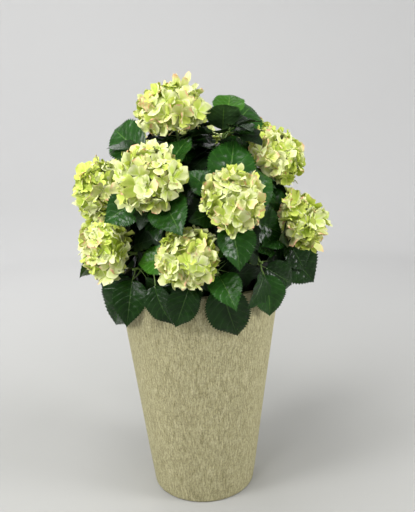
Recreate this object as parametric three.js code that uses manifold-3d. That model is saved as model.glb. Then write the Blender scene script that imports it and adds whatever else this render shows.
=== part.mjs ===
// A mophead hydrangea in a tall tapered planter. Millimetres, +Z up, front towards -Y.
// The origin is the centre of the planter's flat underside.
//
// The plant grows by one seeded rule. Each shoot is a cane that rises from the woody stem base,
// and a mass at the cane's tip: a short green stem, its leaves on their stalks and, on most shoots,
// a bloom. Leaves spread round the stem just under the bloom. A leaf that would touch the planter,
// another mass or a cane is turned a little and tried again, and is left out if it still touches.
import * as THREE from "three";
import { mergeVertices } from "three/addons/utils/BufferGeometryUtils.js";
import Module from "manifold-3d";

// ---- driving dimensions ----
const planter = { height: 600, rimRadius: 220, baseRadius: 142, wall: 14, floor: 20, edge: 5, sides: 40 };
const soil = { level: 560, edgeDrop: 8, flatRadius: 90, sides: 20 };
const stemBase = { radius: 72, height: 46, sides: 16, rings: 4 };
const clearance = 0.3; // between pieces that touch
const cane = { rootRadius: 6.2, tipRadius: 3.6, sides: 5, steps: 5, rise: 0.38, arrive: 0.3 };
const massStem = { rootRadius: 3.6, tipRadius: 3, sides: 5 };
const stalk = { rootRadius: 2.2, bladeRadius: 1.5, length: 26, perLength: 0.08, lean: 0.25 };
const blade = { ratio: 0.76, thickness: 0.018, fold: 14, arch: 0.16, skirtArch: 0.4 };
const bladeStations = [0.14, 0.42, 0.72];
const bloomShape = { crown: 0.82, underside: 0.55, raised: 1.03, sunk: 0.95 };
const bloomStem = 70; // from the bloom's underside down to the cane
const leafyStem = 80; // length of a mass stem that has no bloom
const growthSeed = 20260;

// Each kind of shoot: the radius of its ring of feet on the stem base, and the height on the
// planter's axis that its tip points away from.
const tiers = {
  middle: { footRadius: 2, heart: 740 },
  crown: { footRadius: 20, heart: 740 },
  upper: { footRadius: 32, heart: 700 },
  lower: { footRadius: 48, heart: 640 },
  skirt: { footRadius: 62, heart: 650 },
};

// One row a shoot: name, tier, bearing of its tip in degrees (0 is the front, 90 the right),
// reach from the axis, height, bloom radius, number of seeded leaves, and the leaves that are
// set by hand, each as its clock angle round the stem, its splay from the stem's direction,
// its length, its distance below the bloom and its roll.
const shootRows = [
  ["top", "crown", -37, 87, 1030, 90, 0, [[5, 93, 106, 32, 60], [284, 82, 111, 34, -55]]],
  ["upper_left", "upper", -25, 242, 885, 84, 1,
    [[17, 116, 146, 24, 35], [140, 76, 122, 20, 0], [222, 88, 122, 10, -20],
      [278, 84, 130, 16, -15]]],
  ["far_left", "upper", -80, 241, 846, 80, 2, []],
  ["low_left", "lower", -54, 264, 708, 70, 0, [[228, 80, 112, 34, -30]]],
  ["low_front", "lower", -4.5, 256, 705, 69, 0,
    [[268, 98, 98, 10, 20], [60, 108, 105, 14, -12], [330, 100, 95, 16, 0], [188, 92, 106, 12, 0]]],
  ["upper_right", "upper", 74, 207, 912, 79, 2, [[132, 80, 112, 30, 50]]],
  ["mid_right", "upper", 19, 258, 833, 74, 0,
    [[104, 82, 134, 34, 10], [190, 90, 130, 12, 0], [18, 82, 150, 28, -5], [335, 95, 100, 12, 0],
      [66, 86, 112, 6, 10]]],
  ["low_right", "lower", 65, 283, 758, 66, 0,
    [[145, 76, 114, 20, 45], [163, 72, 148, 62, 50], [267, 92, 84, 16, 10],
      [20, 100, 105, 14, -60]]],
  ["back_right", "upper", 118, 195, 935, 78, 5, []],
  ["back_top", "crown", 178, 165, 930, 80, 5, []],
  ["back_left", "upper", -128, 195, 905, 80, 5, []],
  ["rear_low_right", "lower", 106, 262, 745, 72, 5, []],
  ["rear_right", "lower", 146, 265, 735, 74, 5, []],
  ["rear_left", "lower", -174, 265, 725, 74, 5, []],
  ["rear_low_left", "lower", -132, 262, 735, 74, 5, []],
  ["side_left", "lower", -96, 262, 700, 70, 4, [[120, 58, 135, 26, 0]]],
  ["top_right", "crown", 50, 100, 985, 0, 2,
    [[74, 61, 154, 38, 20], [46, 58, 104, 2, -15], [92, 86, 112, 54, 40]]],
  ["left_shoulder", "upper", -50, 150, 930, 0, 0, [[276, 60, 142, 26, -25]]],
  ["centre", "middle", 5, 45, 925, 0, 3,
    [[14, 88, 128, 26, -20], [19, 80, 118, 0, 30], [60, 84, 110, 50, 50], [300, 80, 110, 14, -55]]],
  ["skirt_left", "skirt", -44, 226, 660, 0, 0, [[206, 67, 144, 34, -8], [150, 60, 104, 10, -60]]],
  ["skirt_front_left", "skirt", -27, 230, 662, 0, 0, [[160, 80, 98, 4, 0]]],
  ["skirt_front", "skirt", -2, 232, 662, 0, 1, [[200, 70, 96, 6, 0]]],
  ["skirt_right", "skirt", 12, 230, 662, 0, 0, [[168, 80, 134, 16, 16], [180, 10, 112, 33, 0]]],
  ["skirt_far_right", "skirt", 44, 226, 668, 0, 0,
    [[180, 76, 104, 10, 30], [110, 66, 110, 30, 10]]],
  ["skirt_rear_right", "skirt", 134, 226, 652, 0, 4, []],
  ["skirt_rear", "skirt", 168, 226, 650, 0, 4, []],
  ["skirt_rear_left", "skirt", -156, 226, 652, 0, 4, []],
  ["skirt_side_left", "skirt", -104, 226, 655, 0, 4, []],
];

// How seeded leaves are dealt: ranges of splay, length and roll, the step of their distance
// below the bloom, and the clock angles of a skirt's leaves, which hang over the rim.
const seededLeaf = { splay: [76, 100], length: [105, 140], roll: 15, jitter: 12, drop: 8, dropStep: 12 };
const seededSkirt = {
  splay: [40, 62], length: [115, 150], roll: 12, jitter: 10, drop: 6, dropStep: 9, spread: 42,
};
const innerLeaf = {
  splay: [70, 110], length: [85, 120], roll: 20, drop: 44, dropStep: 5, withBloom: 5, leafy: 4,
};

// How a leaf is tried: how many times, and the changes from one try to the next.
const tries = {
  most: 12, turnByHand: 4, turnSeeded: 9, splay: 6, shorten: 0.015, lower: 8, sampleStep: 0.09,
};
const gaps = {
  planter: 7, rim: 6, soil: 8, bloom: 4, ownBloom: -7, cane: 9, stalk: 5.5, sheet: 2.6, stemFoot: 6,
};
const caneStretches = 8; // straight stretches that stand for a bent cane where leaves are tested
const bladeSamples = [-1, -0.67, -0.33, 0, 0.33, 0.67, 1]; // across a blade, where it is tested
const stalkSamples = [0.25, 0.4, 0.55, 0.7, 0.85, 1]; // along a stalk, where it is tested

const wasm = await Module();
wasm.setup();

const colour = (hex, roughness, metalness = 0) =>
  new THREE.MeshStandardMaterial({ color: hex, roughness, metalness, flatShading: true });
const materialOf = {
  planter: () => colour(0xb3a883, 0.72),
  soil: () => colour(0x1c1612, 0.95),
  stemBase: () => colour(0x5a4a34, 0.85),
  cane: () => colour(0x6f7a3c, 0.6),
  bloom: () => colour(0xd3de8a, 0.65),
  leaves: () => colour(0x23502a, 0.45),
};

// ---- small helpers ----
const radians = (degrees) => (degrees * Math.PI) / 180;
const along = (point, direction, distance) => point.clone().addScaledVector(direction, distance);

// A Park-Miller generator: each call gives the next number between low and high.
function dealer(seed) {
  let state = seed;
  return (low, high) => {
    state = (state * 16807) % 2147483647;
    return low + ((high - low) * state) / 2147483647;
  };
}

// A point at a bearing, reach and height.
function placeAt(bearing, reach, height) {
  const turn = radians(bearing);
  return new THREE.Vector3(reach * Math.sin(turn), -reach * Math.cos(turn), height);
}

// A closed mesh from corner points and triangles.
function meshGeometry(points, triangles) {
  const geometry = new THREE.BufferGeometry().setFromPoints(points);
  geometry.setIndex(triangles.flat());
  return geometry;
}

// A lathe solid about +Z from [radius, height] pairs that start and end on the axis.
function turned(profile, sides) {
  const points = profile.map(([radius, height]) => new THREE.Vector2(radius, height));
  return new THREE.LatheGeometry(points, sides).rotateX(Math.PI / 2);
}

function solidOf(geometry) {
  const bare = geometry.clone();
  bare.deleteAttribute("normal");
  bare.deleteAttribute("uv");
  const merged = mergeVertices(bare, 1e-4);
  return new wasm.Manifold(
    new wasm.Mesh({
      numProp: 3,
      vertProperties: new Float32Array(merged.attributes.position.array),
      triVerts: new Uint32Array(merged.index.array),
    }),
  );
}

function geometryOf(solid) {
  const mesh = solid.getMesh();
  const geometry = new THREE.BufferGeometry();
  geometry.setAttribute("position", new THREE.BufferAttribute(mesh.vertProperties, 3));
  geometry.setIndex(new THREE.BufferAttribute(mesh.triVerts, 1));
  geometry.computeVertexNormals();
  return geometry;
}

// ---- planter, soil and stem base ----
const outerRadius = (height) =>
  planter.baseRadius + ((planter.rimRadius - planter.baseRadius) * height) / planter.height;
const innerRadius = (height) => outerRadius(height) - planter.wall;

function planterGeometry() {
  const { height, rimRadius, baseRadius, floor, edge, sides } = planter;
  const rimEdge = edge * 0.4;
  return turned(
    [
      [0, 0],
      [baseRadius - edge, 0],
      [baseRadius - edge * 0.2, edge * 0.4],
      [outerRadius(edge * 1.2), edge * 1.2],
      [outerRadius(height - rimEdge), height - rimEdge],
      [rimRadius - rimEdge, height],
      [rimRadius - planter.wall + rimEdge, height],
      [innerRadius(height), height - rimEdge],
      [innerRadius(floor), floor],
      [0, floor],
    ],
    sides,
  );
}

function soilGeometry() {
  const bottom = planter.floor + clearance;
  const top = soil.level - soil.edgeDrop;
  return turned(
    [
      [0, bottom],
      [innerRadius(bottom) - 2 * clearance, bottom],
      [innerRadius(top) - 2 * clearance, top],
      [soil.flatRadius, soil.level],
      [0, soil.level],
    ],
    soil.sides,
  );
}

// Height of the stem base's dome at one of its rings, numbered from the centre.
const ringHeight = (ring) => stemBase.height * (1 - (ring / stemBase.rings) ** 2);

function stemBaseGeometry() {
  const ground = soil.level + clearance;
  const profile = [[0, ground], [stemBase.radius, ground]];
  for (let ring = stemBase.rings - 1; ring >= 0; ring--)
    profile.push([(stemBase.radius * ring) / stemBase.rings, ground + ringHeight(ring)]);
  return turned(profile, stemBase.sides);
}

// The point of the faceted dome at a bearing and reach, and the direction square to its facet.
function domeAt(bearing, reach) {
  const facet = 360 / stemBase.sides;
  const middle = (Math.floor(bearing / facet) + 0.5) * facet;
  const narrowing = Math.cos(radians(facet / 2));
  const ringWidth = stemBase.radius / stemBase.rings;
  const place = (reach * Math.cos(radians(bearing - middle))) / narrowing / ringWidth;
  const ring = Math.floor(place);
  const fall = ringHeight(ring) - ringHeight(ring + 1);
  const height = soil.level + clearance + ringHeight(ring) - fall * (place - ring);
  const slope = fall / ringWidth / narrowing;
  return { point: placeAt(bearing, reach, height), square: placeAt(middle, slope, 1).normalize() };
}

// ---- shoots ----
function shootOf([name, tier, bearing, reach, height, bloomRadius, seeded, leaves]) {
  const { footRadius, heart } = tiers[tier];
  const tip = placeAt(bearing, reach, height);
  const axis = tip.clone().sub(new THREE.Vector3(0, 0, heart)).normalize();
  const up = new THREE.Vector3(0, 0, 1).addScaledVector(axis, -axis.z).normalize();
  const right = up.clone().cross(axis);
  const underside = bloomRadius * bloomShape.underside;
  const stemLength = bloomRadius ? underside + bloomStem : leafyStem;
  const foot = along(tip, axis, -stemLength);

  // The cane leaves the dome square to its facet, and bends to come in along the mass stem.
  const { point, square } = domeAt(bearing, footRadius);
  const root = along(point, square, 1.2 * clearance);
  const span = root.distanceTo(foot);
  const path = new THREE.CubicBezierCurve3(
    root,
    along(root, square, span * cane.rise),
    along(foot, axis, -span * cane.arrive),
    foot,
  );
  const frame = { tip, axis, up, right, foot, path };
  return { name, ...frame, bloomRadius, underside, stemLength, seeded, leaves, skirt: tier === "skirt" };
}

// A tapering limb of rings through points, each square to its tangent, closed at both ends.
function limbGeometry(points, tangents, radii, sides) {
  const rings = [];
  let across = null;
  points.forEach((point, i) => {
    const tangent = tangents[i];
    if (!across) across = new THREE.Vector3(-tangent.y, tangent.x, 0.3);
    across.addScaledVector(tangent, -across.dot(tangent)).normalize();
    const beside = tangent.clone().cross(across);
    const ring = [];
    for (let k = 0; k < sides; k++) {
      const turn = (2 * Math.PI * k) / sides;
      ring.push(along(along(point, across, radii[i] * Math.cos(turn)), beside, radii[i] * Math.sin(turn)));
    }
    rings.push(ring);
  });
  const corners = rings.flat();
  const triangles = [];
  const last = (points.length - 1) * sides;
  for (let i = 0; i < points.length - 1; i++)
    for (let k = 0; k < sides; k++) {
      const a = i * sides + k;
      const b = i * sides + ((k + 1) % sides);
      triangles.push([a, b, b + sides], [a, b + sides, a + sides]);
    }
  for (let k = 1; k < sides - 1; k++) triangles.push([0, k + 1, k], [last, last + k, last + k + 1]);
  return meshGeometry(corners, triangles);
}

function caneGeometry(shoot) {
  const points = [];
  const tangents = [];
  const radii = [];
  for (let i = 0; i <= cane.steps; i++) {
    const t = i / cane.steps;
    points.push(shoot.path.getPoint(t));
    tangents.push(shoot.path.getTangent(t));
    radii.push(cane.rootRadius + (cane.tipRadius - cane.rootRadius) * t);
  }
  return limbGeometry(points, tangents, radii, cane.sides);
}

// ---- leaves ----
// Half the blade's width as a share of its widest: a round body that runs into a drip tip.
function outline(t) {
  const body = Math.max(0, 1 - ((t - 0.43) / 0.455) ** 2) ** 0.55;
  const drip = t > 0.6 ? (0.34 * (1 - t)) / 0.3 : 0;
  return Math.max(body, Math.min(drip, 0.34));
}

function leafOf(shoot, clock, splay, length, drop, roll) {
  const c = radians(clock);
  const s = radians(splay);
  const out = shoot.up.clone().multiplyScalar(Math.cos(c)).addScaledVector(shoot.right, Math.sin(c));
  const heading = shoot.axis.clone().multiplyScalar(Math.cos(s)).addScaledVector(out, Math.sin(s));
  const level = shoot.axis.clone().multiplyScalar(Math.sin(s)).addScaledVector(out, -Math.cos(s));
  const across = heading.clone().cross(level);
  const r = radians(roll);
  const face = level.clone().multiplyScalar(Math.cos(r)).addScaledVector(across, Math.sin(r));
  const side = across.clone().multiplyScalar(Math.cos(r)).addScaledVector(level, -Math.sin(r));
  const depth = Math.min(shoot.underside + drop, shoot.stemLength - gaps.stemFoot);
  const node = along(shoot.tip, shoot.axis, -depth);
  const lean = along(heading, shoot.axis, stalk.lean).normalize();
  const base = along(node, lean, stalk.length + stalk.perLength * length);
  const arch = shoot.skirt ? blade.skirtArch : blade.arch;
  return { node, base, heading, face, side, length, arch, half: (length * blade.ratio) / 2 };
}

// A point on the blade's middle surface: t from base to tip, s from one edge to the other.
function bladePoint(leaf, t, s) {
  const ahead = along(leaf.base, leaf.heading, leaf.length * t);
  const point = along(ahead, leaf.face, -leaf.length * leaf.arch * t * t);
  const normal = along(leaf.face, leaf.heading, 2 * leaf.arch * t).normalize();
  const reach = leaf.half * outline(t) * Math.abs(s);
  const fold = radians(blade.fold);
  const aside = along(point, leaf.side, Math.sign(s) * reach * Math.cos(fold));
  return along(aside, normal, reach * Math.sin(fold));
}

// The blade as one sheet: its base, left, middle and right points at each station, and its tip.
function bladeSheet(leaf) {
  const points = [bladePoint(leaf, 0, 0)];
  for (const t of bladeStations) for (const s of [-1, 0, 1]) points.push(bladePoint(leaf, t, s));
  points.push(bladePoint(leaf, 1, 0));
  const corners = [[0, 1, 2], [0, 2, 3]];
  for (const a of [1, 4])
    corners.push([a, a + 3, a + 4], [a, a + 4, a + 1], [a + 1, a + 4, a + 5], [a + 1, a + 5, a + 2]);
  corners.push([7, 10, 8], [8, 10, 9]);
  const edges = [
    [0, 1], [0, 3], [0, 2], [1, 4], [4, 7], [7, 10], [3, 6], [6, 9], [9, 10],
    [2, 5], [5, 8], [8, 10], [1, 2], [2, 3], [4, 5], [5, 6], [7, 8], [8, 9],
  ];
  return { points, corners, triangles: corners.map((triple) => triple.map((i) => points[i])), edges };
}

// The blade and its three-sided stalk as one closed solid, thickest along the midrib.
function leafGeometry(leaf) {
  const { node, base, heading, face, side } = leaf;
  const half = (leaf.length * blade.thickness) / 2;
  const points = [];
  const add = (point) => points.push(point) - 1;
  const stalkDirection = base.clone().sub(node).normalize();
  const stalkUp = along(face, stalkDirection, -face.dot(stalkDirection)).normalize();
  const stalkSide = stalkDirection.clone().cross(stalkUp);
  const corner = (centre, upward, beside, radius, angle) => {
    const turn = radians(angle);
    return add(along(along(centre, upward, radius * Math.cos(turn)), beside, radius * Math.sin(turn)));
  };
  const thirds = [0, 120, 240];
  const [a, c, b] = thirds.map((angle) => corner(base, face, side, stalk.bladeRadius, angle));
  const [ra, rc, rb] = thirds.map((angle) => corner(node, stalkUp, stalkSide, stalk.rootRadius, angle));
  const rows = bladeStations.map((t) => {
    const normal = along(face, heading, 2 * leaf.arch * t).normalize();
    const middle = bladePoint(leaf, t, 0);
    return {
      left: add(bladePoint(leaf, t, -1)),
      right: add(bladePoint(leaf, t, 1)),
      top: add(along(middle, normal, half)),
      under: add(along(middle, normal, -half)),
    };
  });
  const tip = add(bladePoint(leaf, 1, 0));
  const first = rows[0];
  const last = rows[rows.length - 1];
  const triangles = [
    [a, first.right, first.top], [a, first.top, first.left], [b, first.under, c],
    [a, first.left, b], [b, first.left, first.under], [first.right, a, c], [c, first.under, first.right],
    [a, b, rb], [a, rb, ra], [b, c, rc], [b, rc, rb], [c, a, ra], [c, ra, rc], [ra, rb, rc],
    [last.top, last.right, tip], [last.top, tip, last.left],
    [last.under, tip, last.right], [last.under, last.left, tip],
  ];
  for (let k = 0; k < rows.length - 1; k++) {
    const p = rows[k];
    const q = rows[k + 1];
    triangles.push(
      [p.top, p.right, q.right], [p.top, q.right, q.top],
      [p.top, q.top, q.left], [p.top, q.left, p.left],
      [p.under, q.right, p.right], [p.under, q.under, q.right],
      [p.under, q.left, q.under], [p.under, p.left, q.left],
    );
  }
  return meshGeometry(points, triangles);
}

// ---- blooms ----
// A ball, flatter below than above. Its 12 corners and 20 face centres are raised, one for each
// floret, and the points between them are sunk.
function bloomGeometry(shoot, spin) {
  const ball = bareSphere(2);
  const corners = bareSphere(0).attributes.position;
  const position = ball.attributes.position;
  const point = new THREE.Vector3();
  const corner = new THREE.Vector3();
  const frame = new THREE.Matrix4().makeBasis(shoot.right, shoot.axis, shoot.up.clone().negate());
  for (let i = 0; i < position.count; i++) {
    point.fromBufferAttribute(position, i);
    let nearest = Infinity;
    for (let k = 0; k < corners.count; k++)
      nearest = Math.min(nearest, corner.fromBufferAttribute(corners, k).distanceTo(point));
    const between = nearest > 0.1 && nearest < 0.5;
    point.multiplyScalar(between ? bloomShape.sunk : bloomShape.raised);
    point.applyAxisAngle(new THREE.Vector3(0, 1, 0), spin);
    point.y *= point.y > 0 ? bloomShape.crown : bloomShape.underside;
    point.multiplyScalar(shoot.bloomRadius).applyMatrix4(frame).add(shoot.tip);
    position.setXYZ(i, point.x, point.y, point.z);
  }
  return ball;
}

function bareSphere(detail) {
  const sphere = new THREE.IcosahedronGeometry(1, detail);
  sphere.deleteAttribute("normal");
  sphere.deleteAttribute("uv");
  return mergeVertices(sphere, 1e-4);
}

// ---- the growth rule: which leaves stay, and where ----
// True where a segment passes through a triangle.
function pierces(from, to, [a, b, c]) {
  const d = to.clone().sub(from);
  const e1 = b.clone().sub(a);
  const e2 = c.clone().sub(a);
  const h = d.clone().cross(e2);
  const det = e1.dot(h);
  if (Math.abs(det) < 1e-9) return false;
  const s = from.clone().sub(a);
  const u = s.dot(h) / det;
  if (u < 0 || u > 1) return false;
  const q = s.cross(e1);
  const v = d.dot(q) / det;
  const t = e2.dot(q) / det;
  return v >= 0 && u + v <= 1 && t >= 0 && t <= 1;
}

function insideBloom(point, shoot, margin) {
  const v = point.clone().sub(shoot.tip);
  const z = v.dot(shoot.axis);
  const aside = v.lengthSq() - z * z;
  const radius = shoot.bloomRadius + margin;
  const depth = (z > 0 ? shoot.bloomRadius * bloomShape.crown : shoot.underside) + margin;
  return aside / radius ** 2 + (z * z) / depth ** 2 < 1;
}

function hitsPlanter(point) {
  const radius = Math.hypot(point.x, point.y);
  const outside = outerRadius(point.z);
  const inWall = radius > innerRadius(point.z) - gaps.planter && radius < outside + gaps.planter;
  const inSoil = radius <= outside && point.z < soil.level + gaps.soil;
  return inSoil || (inWall && point.z < planter.height + gaps.rim);
}

function distanceToSegment(point, from, to) {
  const span = to.clone().sub(from);
  const t = THREE.MathUtils.clamp(point.clone().sub(from).dot(span) / span.lengthSq(), 0, 1);
  return point.distanceTo(along(from, span, t));
}

function leafWishes(shoots, draw) {
  const wishes = [];
  const range = ([low, high]) => draw(low, high);
  for (const shoot of shoots)
    for (const row of shoot.leaves) wishes.push({ shoot, row, turn: tries.turnByHand });
  for (const shoot of shoots) {
    const twist = draw(0, 360);
    for (let k = 0; k < shoot.seeded; k++) {
      const rule = shoot.skirt ? seededSkirt : seededLeaf;
      const centre = shoot.skirt ? 180 + (k - 1.5) * rule.spread : twist + (360 / shoot.seeded) * k;
      const clock = centre + draw(-rule.jitter, rule.jitter);
      const splay = range(rule.splay);
      const length = range(rule.length);
      const roll = draw(-rule.roll, rule.roll);
      const drop = rule.drop + rule.dropStep * (k % 3);
      wishes.push({ shoot, row: [clock, splay, length, drop, roll], turn: tries.turnSeeded });
    }
  }
  for (const shoot of shoots)
    for (let k = 0; k < (shoot.bloomRadius ? innerLeaf.withBloom : innerLeaf.leafy); k++) {
      const clock = draw(0, 360);
      const splay = range(innerLeaf.splay);
      const length = range(innerLeaf.length);
      const roll = draw(-innerLeaf.roll, innerLeaf.roll);
      const drop = innerLeaf.drop + innerLeaf.dropStep * k;
      wishes.push({ shoot, row: [clock, splay, length, drop, roll], turn: tries.turnSeeded });
    }
  return wishes;
}

function growLeaves(shoots) {
  const draw = dealer(growthSeed);
  const limbs = []; // straight stretches of the canes, mass stems and leaf stalks
  for (const shoot of shoots) {
    const points = shoot.path.getPoints(caneStretches);
    for (let k = 0; k < caneStretches; k++)
      limbs.push({ shoot, own: false, from: points[k], to: points[k + 1], gap: gaps.cane });
    const top = along(shoot.tip, shoot.axis, shoot.bloomRadius ? -shoot.underside : gaps.stemFoot);
    limbs.push({ shoot, own: true, from: shoot.foot, to: top, gap: gaps.cane });
  }
  const sheets = [];
  const wires = [];
  const leaves = [];

  const fits = (shoot, leaf) => {
    const sheet = bladeSheet(leaf);
    if (sheet.points.some(hitsPlanter)) return null;
    const samples = [...sheet.points];
    for (let t = tries.sampleStep; t < 1; t += tries.sampleStep)
      for (const s of bladeSamples) samples.push(bladePoint(leaf, t, s));
    const stalkPoints = stalkSamples.map((t) => leaf.node.clone().lerp(leaf.base, t));
    for (const other of shoots) {
      if (!other.bloomRadius) continue;
      const margin = other === shoot ? gaps.ownBloom : gaps.bloom;
      if (samples.some((point) => insideBloom(point, other, margin))) return null;
      if (other !== shoot && stalkPoints.some((point) => insideBloom(point, other, margin))) return null;
    }
    for (const limb of limbs) {
      if (limb.own && limb.shoot === shoot) continue;
      if (sheet.triangles.some((face) => pierces(limb.from, limb.to, face))) return null;
      const nearLimb = (point) => distanceToSegment(point, limb.from, limb.to) < limb.gap;
      if (samples.some(nearLimb) || stalkPoints.some(nearLimb)) return null;
    }
    for (const offset of [-gaps.sheet, 0, gaps.sheet]) {
      const moved = sheet.points.map((point) => along(point, leaf.face, offset));
      const faces = sheet.corners.map((triple) => triple.map((i) => moved[i]));
      if (wires.some(([from, to]) => faces.some((face) => pierces(from, to, face)))) return null;
      const cut = ([i, k]) => sheets.some((face) => pierces(moved[i], moved[k], face));
      if (sheet.edges.some(cut)) return null;
      const from = along(leaf.node.clone().lerp(leaf.base, 0.3), leaf.face, offset);
      const to = along(leaf.base, leaf.face, offset);
      if (sheets.some((face) => pierces(from, to, face))) return null;
    }
    return sheet;
  };

  for (const { shoot, row, turn } of leafWishes(shoots, draw)) {
    const [clock, splay, length, drop, roll] = row;
    for (let attempt = 0; attempt < tries.most; attempt++) {
      const swing = Math.ceil(attempt / 2) * (attempt % 2 ? 1 : -1);
      const leaf = leafOf(
        shoot,
        clock + turn * swing,
        splay + (attempt ? (attempt % 3) - 1 : 0) * tries.splay,
        length * (1 - tries.shorten * attempt),
        drop + (attempt % 4 === 3 ? tries.lower : 0),
        roll,
      );
      const sheet = fits(shoot, leaf);
      if (!sheet) continue;
      leaves.push({ shoot, leaf });
      limbs.push({ shoot, own: true, from: leaf.node, to: leaf.base, gap: gaps.stalk });
      sheets.push(...sheet.triangles);
      wires.push([leaf.node, leaf.base], ...sheet.edges.map((pair) => pair.map((i) => sheet.points[i])));
      break;
    }
  }
  return leaves;
}

// A mass as one solid: its stem, its leaves and its bloom, fused.
function massGeometry(shoot, leaves, spin) {
  const start = along(shoot.foot, shoot.axis, clearance);
  const depth = shoot.bloomRadius ? shoot.underside * 0.5 : 0;
  const end = along(shoot.tip, shoot.axis, -depth);
  const radii = [massStem.rootRadius, massStem.tipRadius];
  const stem = limbGeometry([start, end], [shoot.axis, shoot.axis], radii, massStem.sides);
  const pieces = [stem, ...leaves.map(leafGeometry)];
  if (shoot.bloomRadius) pieces.push(bloomGeometry(shoot, spin));
  return geometryOf(wasm.Manifold.union(pieces.map(solidOf)));
}

// ---- the assembly ----
const group = new THREE.Group();
function place(name, geometry, material) {
  const mesh = new THREE.Mesh(geometry, material);
  mesh.name = name;
  group.add(mesh);
}

place("planter", planterGeometry(), materialOf.planter());
place("soil", soilGeometry(), materialOf.soil());
place("stem_base", stemBaseGeometry(), materialOf.stemBase());

const shoots = shootRows.map(shootOf);
const grown = growLeaves(shoots);
const spinDraw = dealer(growthSeed + 1);
for (const shoot of shoots) {
  const leaves = grown.filter((entry) => entry.shoot === shoot).map((entry) => entry.leaf);
  const mass = massGeometry(shoot, leaves, spinDraw(0, Math.PI));
  place("cane_" + shoot.name, caneGeometry(shoot), materialOf.cane());
  if (shoot.bloomRadius) place("bloom_" + shoot.name, mass, materialOf.bloom());
  else place("leaves_" + shoot.name, mass, materialOf.leaves());
}

export default group;
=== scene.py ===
import math
from types import SimpleNamespace

import bpy
import numpy as np
from mathutils import Matrix


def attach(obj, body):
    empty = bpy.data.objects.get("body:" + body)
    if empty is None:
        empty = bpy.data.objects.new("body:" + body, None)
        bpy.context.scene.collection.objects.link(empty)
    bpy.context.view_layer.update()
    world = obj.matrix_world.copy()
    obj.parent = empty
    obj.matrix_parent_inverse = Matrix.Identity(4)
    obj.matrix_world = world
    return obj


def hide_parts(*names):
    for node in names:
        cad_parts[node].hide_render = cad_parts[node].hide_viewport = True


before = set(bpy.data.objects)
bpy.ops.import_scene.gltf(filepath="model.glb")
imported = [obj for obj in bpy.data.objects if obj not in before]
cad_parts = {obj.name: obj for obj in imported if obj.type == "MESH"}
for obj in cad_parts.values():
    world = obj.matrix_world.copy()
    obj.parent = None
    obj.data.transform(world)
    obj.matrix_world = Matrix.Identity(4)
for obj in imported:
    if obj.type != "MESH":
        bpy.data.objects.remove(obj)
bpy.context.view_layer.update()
print("frame loaded:", len(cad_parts), "nodes")

metre = 0.001  # one millimetre of the growth rule, in Blender's unit


def unit(vectors):
    # each vector over its own length
    vectors = np.asarray(vectors, float)
    return vectors / np.linalg.norm(vectors, axis=-1, keepdims=True)


def placeAt(bearing, reach, height):
    # a point at a bearing, in degrees from the front, a reach from the axis and a height
    turn = math.radians(bearing)
    return np.array([reach * math.sin(turn), -reach * math.cos(turn), height])


def dealer(seed):
    # a Park-Miller generator: each call gives the next number between low and high
    state = [seed]

    def deal(low, high):
        state[0] = state[0] * 16807 % 2147483647
        return low + (high - low) * state[0] / 2147483647

    return deal


def smooth(low, high, values):
    # a soft step from 0 at low to 1 at high
    share = np.clip((values - low) / (high - low), 0, 1)
    return share * share * (3 - 2 * share)


# the growth rule, as in the part's source
planter = {"height": 600, "rimRadius": 220, "baseRadius": 142, "wall": 14, "floor": 20}
soil = {"level": 560, "edgeDrop": 8, "flatRadius": 90}
stemBase = {"radius": 72, "height": 46, "sides": 16, "rings": 4}
clearance = 0.3
cane = {"rootRadius": 6.2, "tipRadius": 3.6, "rise": 0.38, "arrive": 0.3}
massStem = {"rootRadius": 3.6, "tipRadius": 3}
stalk = {"rootRadius": 2.2, "bladeRadius": 1.5, "length": 26, "perLength": 0.08, "lean": 0.25}
blade = {"ratio": 0.76, "fold": 14, "arch": 0.16, "skirtArch": 0.4}
bladeStations = (0.14, 0.42, 0.72)
bloomShape = {"crown": 0.82, "underside": 0.55, "heart": 0.3}
bloomStem = 70
leafyStem = 80
growthSeed = 20260
usualLeaf = 120  # the length that stalks and the relief of blades are scaled by

# each kind of shoot: its ring of feet on the stem base, and the height its tip points away from
tiers = {
    "middle": (2, 740),
    "crown": (20, 740),
    "upper": (32, 700),
    "lower": (48, 640),
    "skirt": (62, 650),
}

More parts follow.
